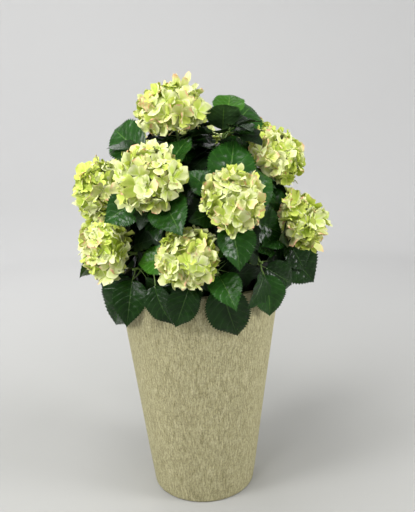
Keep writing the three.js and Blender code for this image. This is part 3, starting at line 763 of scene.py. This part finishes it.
def makePlanter():
    # one profile with round edges at foot and rim, carried round the axis
    height, wall = planter["height"], planter["wall"]
    foot, edge = potLook["footEdge"], potLook["rimEdge"]
    corner = [outerRadius(foot) - foot, foot]
    outside = np.linspace(foot, height - edge, potLook["rows"])
    profile = np.vstack([
        [(0, 0), (planter["baseRadius"] * 0.5, 0)],
        arcPoints(corner, foot, -90, -4, 7),
        np.stack([outerRadius(outside), outside], -1)[1:],
        arcPoints([outerRadius(height) - edge, height - edge], edge, 8, 90, 5),
        arcPoints([innerRadius(height) + edge, height - edge], edge, 90, 180, 5),
        [(innerRadius(height * share), height * share) for share in (0.97, 0.93, 0.85, 0.5)],
        [(innerRadius(planter["floor"]), planter["floor"])],
        [(0, planter["floor"])],
    ])

    def relief(turn, z):
        # long low waves round the wall, none at the foot and rim
        calm = smooth(0, 40, z) * (1 - smooth(height - 30, height, z))
        waves = np.sin(5 * turn + z / 90) + 0.7 * np.sin(11 * turn - z / 60)
        waves = waves + 0.5 * np.sin(23 * turn + z / 45)
        return potLook["uneven"] * calm * waves * (z > planter["floor"])

    pot = latheSurface(profile, potLook["sides"], relief)
    newPiece("planter_wall", pot, stoneMaterial(), ["planter"])


# the soil: a rough disc, a little lower at the wall, with crumbs on it
soilLook = {
    "rings": 70, "sides": 180, "rough": 2.2, "crumbs": 420, "crumb": (1.5, 4.5), "depth": 45,
    "seed": 11, "grain": (180, 5, 0.65), "finish": (0.95, 0.2, 0.004, 1.0),
    "tones": [(0.3, (0.010, 0.007, 0.005)), (0.55, (0.03, 0.02, 0.014)), (0.75, (0.075, 0.052, 0.035))],
}


def makeSoil():
    # a disc that drops softly to the wall, raised by products of sines, with small balls strewn on it
    level, drop = soil["level"], soil["edgeDrop"]
    widest = innerRadius(level - drop) - 1
    radius = np.linspace(0, widest, soilLook["rings"])
    height = level - drop * smooth(soil["flatRadius"], widest, radius)
    bottom = level - soilLook["depth"]
    under = [(0, bottom), (innerRadius(bottom) - 1, bottom)]
    profile = np.vstack([under, np.stack([radius, height], -1)[::-1]])
    points, triangles = latheSurface(profile, soilLook["sides"])
    x, y, z = points.T
    lumps = np.sin(x * 0.21 + np.sin(y * 0.13) * 2) * np.sin(y * 0.19 + 1.3 + np.sin(x * 0.11) * 2)
    grains = np.sin(x * 0.83 + y * 0.31) * np.sin(y * 0.77 - x * 0.42)
    inside = smooth(0, 12, widest - np.hypot(x, y)) * (z > bottom + 1)
    clearOfDome = smooth(stemBase["radius"] - 6, stemBase["radius"] + 8, np.hypot(x, y))
    points[:, 2] += soilLook["rough"] * (lumps * 0.7 + grains * 0.4) * inside * clearOfDome
    material = grainMaterial("pottingSoil", soilLook)
    newPiece("soil_bed", (points, triangles), material, ["soil"])
    rng = np.random.default_rng(soilLook["seed"])
    count = soilLook["crumbs"]
    bearing = rng.uniform(0, 2 * np.pi, count)
    reach = np.sqrt(rng.uniform((stemBase["radius"] + 6) ** 2, (widest - 8) ** 2, count))
    size = rng.uniform(*soilLook["crumb"], count)
    centre = np.stack([reach * np.sin(bearing), -reach * np.cos(bearing), np.full(count, level + 0.5)], -1)
    centre[:, 2] -= drop * smooth(soil["flatRadius"], widest, reach)
    ballPoints, ballTriangles = latheSurface([(0, -1), (0.8, -0.6), (1, 0.1), (0.7, 0.7), (0, 1)], 6)
    stretch = rng.uniform(0.6, 1.3, (count, 1, 3))
    crumbs = centre[:, None] + ballPoints[None] * stretch * size[:, None, None]
    newPiece("soil_crumbs", copies(crumbs, ballTriangles), material)


# the woody foot: a knobbly dome with bark relief
footLook = {"sides": 96, "rings": 40, "knobs": 2.4, "bark": ((0.05, 0.034, 0.02), (0.17, 0.12, 0.07), 90)}


def makeStemBase():
    # the growth rule's parabola carried round the axis, raised by products of sines
    radius = np.linspace(stemBase["radius"], 0, footLook["rings"])
    ground = soil["level"] + clearance
    height = ground + stemBase["height"] * (1 - (radius / stemBase["radius"]) ** 2)
    profile = np.vstack([[(0, ground)], np.stack([radius, height], -1)])
    points, triangles = latheSurface(profile, footLook["sides"])
    x, y, z = points.T
    knobs = np.sin(x * 0.16 + 1) * np.sin(y * 0.14 + 2) + 0.5 * np.sin(x * 0.43 + y * 0.2) * np.sin(y * 0.39)
    inside = smooth(0, 14, stemBase["radius"] - np.hypot(x, y)) * (z > ground + 0.5)
    points[:, 2] += footLook["knobs"] * (knobs - 0.6) * inside
    bark = barkMaterial("woodyFoot", *footLook["bark"])
    newPiece("woody_foot", (points, triangles), bark, ["stem_base"])


# the canes: bark with low rings where old leaves stood, swelling at the foot
caneLook = {
    "steps": 46, "sides": 14, "rings": 7, "ringRise": 0.16, "footSwell": 0.25, "wander": 1.2,
    "ringWidth": 0.08, "footLength": 0.05, "waves": 9, "apart": 1.7,
    "bark": ((0.07, 0.085, 0.025), (0.20, 0.22, 0.075), 130),
}


def makeCanes():
    # tubes along the growth rule's curves, moved aside by a sine; their radius falls evenly to the
    # tip, and is wider at the foot and at each ring
    t = np.linspace(0, 1, caneLook["steps"])
    paths = np.stack([bezier(shoot.path, t) for shoot in shoots])
    references = column(shoots, "right")
    phase = np.arange(len(shoots))[:, None] * caneLook["apart"]
    wander = caneLook["wander"] * np.sin(np.pi * t) * np.sin(caneLook["waves"] * t + phase)
    paths = paths + references[:, None] * wander[..., None]
    ring = np.exp(-((((t * caneLook["rings"]) % 1) - 0.5) / caneLook["ringWidth"]) ** 2)
    radii = cane["rootRadius"] + (cane["tipRadius"] - cane["rootRadius"]) * t
    swell = caneLook["footSwell"] * np.exp(-((t / caneLook["footLength"]) ** 2))
    radii = radii * (1 + caneLook["ringRise"] * ring + swell)
    limbs = tubes(paths, radii, references, caneLook["sides"])
    bark = barkMaterial("caneBark", *caneLook["bark"])
    newPiece("canes", limbs, bark, ["cane_" + shoot.name for shoot in shoots])


# the green stems of the masses, with a joint at each leaf, and the leaves' stalks
stemLook = {
    "steps": 16, "sides": 12, "overlap": 3, "stalkSteps": 8, "stalkSides": 8, "sag": 2.2, "clasp": 1.5,
    "claspLength": 0.12, "sizes": (0.6, 1.15), "into": 0.06, "thin": 0.75,
    "grain": (60, 3, 0.5), "finish": (0.48, 0.4, 0.0006, 0.5),
    "tones": [(0.3, (0.10, 0.19, 0.035)), (0.7, (0.24, 0.36, 0.085))],
}


def makeStems():
    # straight tubes into the heart of each mass, and a tube to each blade that sags by half a sine,
    # narrows on its way and is wider where it clasps the stem
    foot, axis, tip, right = [column(shoots, key) for key in ("foot", "axis", "tip", "right")]
    starts = foot - axis * stemLook["overlap"]
    ends = tip - axis * (column(shoots, "underside") * bloomShape["heart"])[:, None]
    t = np.linspace(0, 1, stemLook["steps"])[:, None]
    paths = starts[:, None] * (1 - t) + ends[:, None] * t
    radii = massStem["rootRadius"] + (massStem["tipRadius"] - massStem["rootRadius"]) * t[:, 0]
    stems = tubes(paths, radii, right, stemLook["sides"])
    leaves = growth.leaves
    node, base, heading, face = [column(leaves, key) for key in ("node", "base", "heading", "face")]
    length = column(leaves, "length")[:, None, None]
    size = np.clip(length / usualLeaf, *stemLook["sizes"])
    into = base + heading * stemLook["into"] * length[:, 0]
    t = np.linspace(0, 1, stemLook["stalkSteps"])[None, :, None]
    straight = node[:, None] * (1 - t) + into[:, None] * t
    sag = -face[:, None] * stemLook["sag"] * np.sin(np.pi * t)
    t = t[..., 0]
    radii = (stalk["rootRadius"] * (1 - t) + stalk["bladeRadius"] * stemLook["thin"] * t) * size[..., 0]
    radii = radii * (1 + (stemLook["clasp"] - 1) * np.exp(-((t / stemLook["claspLength"]) ** 2)))
    stalks = tubes(straight + sag, radii, column(leaves, "side"), stemLook["stalkSides"])
    masses = [("bloom_" if shoot.bloomRadius else "leaves_") + shoot.name for shoot in shoots]
    green = grainMaterial("greenStalk", stemLook)
    newPiece("green_stalks", joined([stems, stalks]), green, masses)


# the leaves: serrated, quilted between their veins, closed thin sheets
leafLook = {
    "rows": 44, "columns": 6, "plainRows": 8, "plainColumns": 2, "thickness": 0.7, "veins": 7.0,
    "sweep": 0.27, "sweepPower": 1.25, "quilt": 2.4, "tooth": 0.05, "toothLean": 0.6, "edgeWave": 3.0,
    "puff": 0.16, "midrib": 1.1, "tipDroop": 0.05, "widest": 0.80,
    "midribWidth": 0.09, "edgeWaves": 2.3, "edgeShift": 1.4,
    # painted shade: more of the skirt's leaves are deep green, for the shade under the crown
    "darkInSkirt": 0.6, "darkInCrown": 0.22, "fullness": (0.60, 1.2), "spread": 1.06,
}
leafKinds = {
    "deep": {
        "lamina": (0.009, 0.037, 0.004), "rib": (0.055, 0.13, 0.022), "vein": (0.021, 0.066, 0.008),
        "under": (0.035, 0.075, 0.025), "gloss": 0.24,
    },
    "mid": {
        "lamina": (0.022, 0.088, 0.011), "rib": (0.12, 0.25, 0.050), "vein": (0.044, 0.135, 0.020),
        "under": (0.050, 0.105, 0.035), "gloss": 0.26,
    },
    "fresh": {
        "lamina": (0.050, 0.175, 0.012), "rib": (0.18, 0.34, 0.05), "vein": (0.08, 0.235, 0.022),
        "under": (0.09, 0.17, 0.045), "gloss": 0.32,
    },
    # painted shade: the inner colour is darker than deep green, for the shade deep inside the crown
    "inner": {
        "lamina": (0.007, 0.022, 0.004), "rib": (0.03, 0.06, 0.02), "vein": (0.010, 0.030, 0.006),
        "under": (0.016, 0.038, 0.012), "gloss": 0.4,
    },
}
# young bright leaves, by shoot and by their place among the leaves that it has grown
freshByHand = {("low_front", 0), ("low_front", 1), ("side_left", 0), ("top_right", 1)}


def leafWidth(t):
    # half the width along the leaf as a share of its widest: a sine raised to a power that grows
    # from the base, where the outline is full, to the tip, where it runs out to a point
    full, sharp = leafLook["fullness"]
    oval = np.sin(np.pi * np.clip(t, 0, 1) ** leafLook["widest"])
    return leafLook["spread"] * oval ** (full + (sharp - full) * t**2)


def leafPoints(leaves, t, s, side, rows):
    # the source's blade for many leaves at once, with teeth, veins, a wavy rim and a thickness
    numbers, directions = ("length", "half", "arch", "phase"), ("base", "heading", "face", "side")
    length, half, arch, phase = [column(leaves, key)[:, None, None] for key in numbers]
    base, heading, face, across = [column(leaves, key)[:, None] for key in directions]
    shape = leafWidth(t)
    onRim = (np.abs(s) > 0.999) * smooth(0.03, 0.1, t) * (1 - smooth(0.93, 0.99, t))
    tooth = leafLook["tooth"] * onRim * (2 * (np.round(t * rows) % 2) - 1)
    t = t + tooth * leafLook["toothLean"] / rows / leafLook["tooth"] * 0.5
    t3, s3, side3 = t[None, :, None], s[None, :, None], side[None, :, None]
    middle = base + heading * length * t3 - face * length * (arch * t3**2 + leafLook["tipDroop"] * t3**6)
    normal = unit(face + heading * 2 * arch * t3)
    reach = half * (shape * (1 + tooth))[None, :, None] * np.abs(s3)
    fold = math.radians(blade["fold"])
    place = (t - leafLook["sweep"] * np.abs(s) ** leafLook["sweepPower"]) * leafLook["veins"]
    fromVein = np.abs(place - np.floor(place) - 0.5)
    calm = smooth(0.02, 0.16, t) * (1 - smooth(0.78, 0.95, t)) * (1 - np.abs(s) ** 4)
    quilt = leafLook["quilt"] * (np.sqrt(np.clip(fromVein * 2, 0, 1)) - 0.5) * calm
    groove = -leafLook["midrib"] * np.exp(-((s / leafLook["midribWidth"]) ** 2)) * (1 - smooth(0.8, 1, t))
    relief = (quilt + groove)[None, :, None] * length / usualLeaf
    puff = leafLook["puff"] * half * shape[None, :, None] * np.abs(s3) * (1 - np.abs(s3))
    wave = np.sin(2 * np.pi * (leafLook["edgeWaves"] * t3 + phase) + leafLook["edgeShift"] * np.sign(s3))
    wave = wave * s3**2 * np.sin(np.pi * t3)
    lift = reach * math.sin(fold) + puff + relief + wave * leafLook["edgeWave"]
    depth = side3 * leafLook["thickness"] / 2 * np.sqrt(np.clip(1 - s3**2, 0, 1))
    return middle + across * np.sign(s3) * reach * math.cos(fold) + normal * (lift + depth)


def makeLeaves():
    # leaves deep inside the crown are plain ovals of a few dozen faces, the others have teeth
    deal = dealer(growthSeed + 3)
    seen = {}
    for leaf in growth.leaves:
        name = leaf.shoot.name
        order = seen.get(name, 0)
        seen[name] = order + 1
        leaf.phase = deal(0, 1)
        share = deal(0, 1)
        leaf.plain = leaf.kind in ("inner", "finer")
        # painted shade: plain leaves deep inside the crown take only the darkest inner colour or deep green
        if leaf.plain:
            leaf.colour = "inner" if share < 0.5 else "deep"
        elif leaf.kind == "hand" and (name, order) in freshByHand:
            leaf.colour = "fresh"
        else:
            # painted shade: skirt leaves under the crown are deep green more often than crown leaves
            dark = leafLook["darkInSkirt"] if leaf.shoot.skirt else leafLook["darkInCrown"]
            leaf.colour = "deep" if share < dark else "mid" if share < 0.9 else "fresh"
    fine = leafLook["rows"], leafLook["columns"]
    sizes = {False: fine, True: (leafLook["plainRows"], leafLook["plainColumns"])}
    for colour, look in leafKinds.items():
        parts, uvs, rims = [], [], []
        for plain, size in sizes.items():
            leaves = [leaf for leaf in growth.leaves if leaf.colour == colour and leaf.plain == plain]
            if not leaves:
                continue
            t, s, side, triangles, uv = lensTopology(*size)
            parts.append(copies(leafPoints(leaves, t, s, side, size[0]), triangles))
            uvs.append(np.tile(uv, (len(leaves), 1, 1)))
            rims.append(np.tile(side == 0, len(leaves)))
        material = leafMaterial("leaf_" + colour, **look)
        cornerUv, onRim = np.concatenate(uvs), np.concatenate(rims)
        newPiece("leaves_" + colour, joined(parts), material, (), cornerUv, onRim)


# the flower heads: florets of four wavy sepals round a bud, on thin stalks from the heart
bloomLook = {
    "perRadius": 0.98, "sunk": 0.81, "deep": (-0.12, 0.025), "lowest": -0.86, "tilt": 0.3, "sepal": (21, 29),
    "ratio": 1.28, "cup": (-0.15, 0.5), "bend": 0.16, "channel": (-0.12, 0.2), "ruffle": 3.2, "rimWave": 0.12,
    "rows": 4, "columns": 4, "thickness": 0.5, "swap": 0.25, "stagger": 1.3,
    "scatter": 0.045, "askew": 0.12, "lengths": (0.85, 1.1), "lean": (-0.4, 0.4), "rise": 0.12, "seed": 29,
}
sepalKinds = {
    "lime": {"share": 0.34, "heart": (0.40, 0.56, 0.04), "rim": (0.67, 0.75, 0.165), "flush": None},
    "cream": {"share": 0.42, "heart": (0.56, 0.70, 0.11), "rim": (0.84, 0.865, 0.48), "flush": None},
    "blush": {
        "share": 0.24, "heart": (0.54, 0.65, 0.11), "rim": (0.84, 0.82, 0.41), "flush": (0.93, 0.42, 0.28),
    },
}
sprig = {"on": "top", "place": (25, -6, 49), "facing": (0.1, -0.3, 1.0), "cup": 1.4}


def floretPlaces(rng):
    # florets lie on a golden spiral over each flattened ball, sunk and scattered a little, and face
    # about outwards: their centres, directions, and the heart of the head that their stalks leave
    centres, normals, hearts = [], [], []
    for shoot in shoots:
        radius = shoot.bloomRadius
        if not radius:
            continue
        count = round(bloomLook["perRadius"] * radius)
        i = np.arange(count)
        y = 1 - (i + 0.5) / count * (1 - bloomLook["lowest"])
        turn = i * np.pi * (3 - math.sqrt(5)) + rng.uniform(0, 6)
        ring = np.sqrt(1 - y * y)
        ball = np.stack([ring * np.cos(turn), y, ring * np.sin(turn)], -1)
        ball += rng.normal(0, bloomLook["scatter"], ball.shape)
        squash = np.ones((count, 3))
        squash[:, 1] = np.where(ball[:, 1] > 0, bloomShape["crown"], bloomShape["underside"])
        basis = np.stack([shoot.right, shoot.axis, -shoot.up])
        deep = bloomLook["sunk"] + rng.uniform(*bloomLook["deep"], (count, 1))
        centres.append(shoot.tip + (ball * squash * radius * deep) @ basis)
        normals.append(unit((ball / squash) @ basis + rng.normal(0, bloomLook["tilt"], (count, 3))))
        heart = shoot.tip - shoot.axis * shoot.underside * bloomShape["heart"]
        hearts.append(np.broadcast_to(heart, (count, 3)))
        if shoot.name == sprig["on"]:
            upright = sum(len(part) for part in centres)
            centres.append(shoot.tip[None] + sprig["place"])
            normals.append(unit(np.array([sprig["facing"]])))
            hearts.append(heart[None])
    return np.concatenate(centres), np.concatenate(normals), np.concatenate(hearts), upright


def makeBlooms():
    # four sepals to a floret: each is a sheet with a round end, cupped, channelled along its middle
    # and ruffled towards its rim
    rng = np.random.default_rng(bloomLook["seed"])
    centre, normal, heart, upright = floretPlaces(rng)
    total = len(centre)
    floretKind = rng.choice(3, total, p=[kind["share"] for kind in sepalKinds.values()])
    reference = np.where(np.abs(normal[:, 2:]) > 0.8, [[1.0, 0, 0]], [[0, 0, 1.0]])
    first = unit(np.cross(normal, reference))
    second = np.cross(normal, first)
    spin = rng.uniform(0, 2 * np.pi, total)
    size = rng.uniform(*bloomLook["sepal"], total)
    cup = rng.uniform(*bloomLook["cup"], total)
    cup[upright] = sprig["cup"]  # one young floret stands up from the highest flower head
    points, kinds = [], []
    t, s, side, triangles, uv = lensTopology(bloomLook["rows"], bloomLook["columns"])
    along = np.sin(np.pi / 2 * t)
    width = along**0.7 * np.sqrt(np.clip(1 - along**4, 0, 1)) * 1.2
    for k in range(4):
        angle = spin + k * np.pi / 2 + rng.normal(0, bloomLook["askew"], total)
        out = first * np.cos(angle)[:, None] + second * np.sin(angle)[:, None]
        aside = np.cross(out, normal)
        length = (size * rng.uniform(*bloomLook["lengths"], total))[:, None, None]
        channel = rng.uniform(*bloomLook["channel"], total)[:, None, None]
        bend = (cup + rng.normal(0, bloomLook["bend"], total))[:, None, None]
        phase = rng.uniform(0, 2 * np.pi, (total, 1, 1))
        freely = rng.uniform(*bloomLook["lean"], (total, 1, 1))
        a, b, d = along[None, :, None], s[None, :, None], side[None, :, None]
        reach = length * a * (1 + bloomLook["rimWave"] * np.cos(3 * np.pi * b + phase) * a * a)
        half = length * bloomLook["ratio"] / 2 * width[None, :, None]
        ruffle = bloomLook["ruffle"] * a**2 * np.sin(4.2 * b + 3.1 * a + phase) * (0.35 + np.abs(b) ** 1.5)
        lift = length * (bend * a**2 + bloomLook["rise"] * a) + length * channel * b**2 * a + ruffle
        lift = lift + (k % 2) * bloomLook["stagger"] * a
        lift = lift + freely * half * b + d * bloomLook["thickness"] / 2
        flat = out[:, None] * reach + aside[:, None] * half * b
        points.append(centre[:, None] + flat + normal[:, None] * lift)
        swapped = rng.random(total) < bloomLook["swap"]
        kinds.append(np.where(swapped, rng.integers(0, 3, total), floretKind))
    points, kinds = np.concatenate(points), np.concatenate(kinds)
    for index, (name, look) in enumerate(sepalKinds.items()):
        mine = points[kinds == index]
        material = sepalMaterial("sepal_" + name, look["heart"], look["rim"], look["flush"])
        cornerUv, onRim = np.tile(uv, (len(mine), 1, 1)), np.tile(side == 0, len(mine))
        newPiece("sepals_" + name, copies(mine, triangles), material, (), cornerUv, onRim)
    makeBuds(centre, normal, heart, first, rng)


# each floret's bud, and the thin stalk that bends out to it from the heart of the head
budLook = {
    "size": (1.5, 2.3), "above": 2.2, "elbow": (0.45, 0.55), "drop": 5, "radius": 1.6, "taper": 0.7,
    "steps": 5, "sides": 5, "bud": ((0.30, 0.42, 0.06), (0.55, 0.62, 0.16), 200),
    "stalk": ((0.16, 0.25, 0.05), (0.36, 0.46, 0.12), 120),
}


def makeBuds(centre, normal, heart, reference, rng):
    # a small ball for each bud, and a tube along a curve of three corners for each stalk
    ballPoints, ballTriangles = latheSurface([(0, -1), (0.75, -0.66), (1, 0), (0.75, 0.66), (0, 1)], 7)
    size = rng.uniform(*budLook["size"], len(centre))[:, None, None]
    buds = (centre + normal * budLook["above"])[:, None] + ballPoints[None] * size
    newPiece("buds", copies(buds, ballTriangles), barkMaterial("floretBud", *budLook["bud"]))
    t = np.linspace(0, 1, budLook["steps"])[None, :, None]
    inner, outer = budLook["elbow"]
    elbow = heart * inner + centre * outer - normal * budLook["drop"]
    paths = heart[:, None] * (1 - t) ** 2 + elbow[:, None] * 2 * t * (1 - t) + centre[:, None] * t * t
    stalks = tubes(paths, budLook["radius"] - budLook["taper"] * t[..., 0], reference, budLook["sides"])
    newPiece("floret_stalks", stalks, barkMaterial("floretStalk", *budLook["stalk"]))


# stage, lights and camera
stageLook = {
    "floor": 3000, "bend": 1500, "wall": 3600, "sides": 96, "sunk": 0.4,
    "low": (0.43, 0.43, 0.415), "high": (0.69, 0.69, 0.688), "greyer": (0.2, 0.95),
}


def makeStage():
    # a round pale floor that bends up into a wall all round, so every side has the same backdrop,
    # a little greyer in the middle where the light is strongest
    bend, radius = stageLook["bend"], stageLook["floor"]
    arc = arcPoints([radius, bend], bend, -90, 0, 24)
    flat = [(reach, 0) for reach in np.linspace(300, radius * 0.98, 12)]
    profile = np.vstack([[(0, 0)], flat, arc, [(radius + bend, stageLook["wall"])]])
    points, triangles = latheSurface(profile, stageLook["sides"])
    material, add = nodeMaker("studioPaper")
    away = add("VectorMath", {0: add("TexCoord").outputs["Object"]}, operation="LENGTH").outputs["Value"]
    stops = list(zip(stageLook["greyer"], (stageLook["low"], stageLook["high"])))
    colour = ramp(add, maths(add, "MULTIPLY", away, 0.3), stops)
    finishWith(add, colour, 0.9, 0.1)
    points = points - (0, 0, stageLook["sunk"])
    floor = newObject("studio_floor", (points, triangles[:, ::-1]), material)


lightRows = [
    # name, place, aim, size, power
    ("left", (-2.3, -1.3, 1.8), (0, 0, 0.6), 1.0, 52),
    ("right", (2.4, -0.9, 1.6), (0, 0, 0.55), 1.0, 46),
    ("gleam", (-0.9, -2.0, 2.5), (0, 0, 0.8), 0.7, 13),
    ("top", (-0.5, -0.8, 3.0), (0, 0, 0.8), 1.4, 40),
    ("back", (-0.8, 2.4, 2.4), (0, 0, 0.7), 2.0, 16),
    ("backdrop", (-0.8, 0.8, 3.1), (-1.0, 4.4, 1.4), 2.2, 43),
]
worldLook = {"colour": (1.0, 1.0, 1.0), "strength": 0.32}


def placed(name, data, turn, place):
    # an object of the scene from its three axes, as columns, and its place
    item = bpy.data.objects.new(name, data)
    bpy.context.scene.collection.objects.link(item)
    item.matrix_world = Matrix([[*turn[i], place[i]] for i in range(3)] + [[0, 0, 0, 1]])
    return item


def makeLights():
    # round lamps that look at their aims, unseen by the camera, and a pale world round them
    for name, place, aim, size, power in lightRows:
        data = bpy.data.lights.new(name, "AREA")
        data.shape = "DISK"
        data.size = size
        data.energy = power
        place, aim = np.array(place), np.array(aim)
        back = unit(place - aim)
        side = unit(np.cross([0, 0, 1], back))
        turn = np.stack([side, np.cross(back, side), back], 1)
        placed(name, data, turn, place).visible_camera = False
    world = bpy.data.worlds.new("studio")
    bpy.context.scene.world = world
    world.use_nodes = True
    background = world.node_tree.nodes["Background"].inputs
    background["Color"].default_value = (*worldLook["colour"], 1)
    background["Strength"].default_value = worldLook["strength"]


# where the camera stands, how far it looks down, how it rolls, and its lens on a 36 mm sensor
cameraLook = {"place": (0.0251, -1.5231, 0.9996), "pitch": 0.225, "roll": -0.0259, "lens": 40.8}


def makeCamera():
    # level, then pitched down about its own side and rolled about its line of sight
    data = bpy.data.cameras.new("camera")
    data.sensor_width = 36
    data.lens = cameraLook["lens"]
    pitch, roll = cameraLook["pitch"], cameraLook["roll"]
    level = np.array([1.0, 0, 0])
    lifted = np.array([0, math.sin(pitch), math.cos(pitch)])
    right = level * math.cos(roll) + lifted * math.sin(roll)
    top = lifted * math.cos(roll) - level * math.sin(roll)
    turn = np.stack([right, top, np.cross(right, top)], 1)
    bpy.context.scene.camera = placed("camera", data, turn, cameraLook["place"])


makeCamera()
makePlanter()
makeSoil()
makeStemBase()
makeCanes()
makeStems()
makeLeaves()
makeBlooms()
makeStage()
makeLights()
bpy.context.scene.view_settings.view_transform = "Standard"
